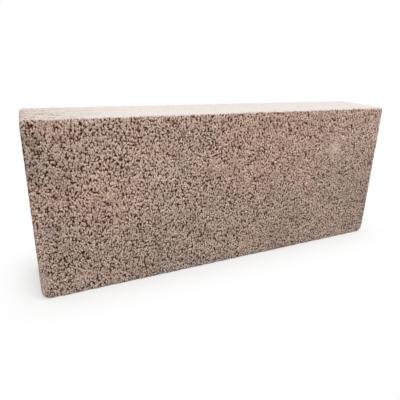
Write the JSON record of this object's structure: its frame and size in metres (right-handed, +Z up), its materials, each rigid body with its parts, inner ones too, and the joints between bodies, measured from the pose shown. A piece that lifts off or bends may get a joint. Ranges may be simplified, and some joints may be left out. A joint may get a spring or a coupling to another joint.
{
  "type": "fire brick",
  "caption": "Solid rectangular refractory block of bonded lightweight grains, with rounded end corners and worn arrises, for laying in a wall, hearth or kiln lining.",
  "frame": {"origin": "middle of the underside, which is the long narrow bed face that the block stands on", "axes": "+X along the length, +Y through the thickness from the front face to the back face, +Z up the height to the top bed"},
  "size_m": [0.6, 0.1, 0.25],
  "materials": {
    "brick_body": "matt, open-grained, pinkish brown with darker pores and a paler top bed"
  },
  "bodies": {
    "root": {"brick": "brick_body"}
  },
  "joints": []
}
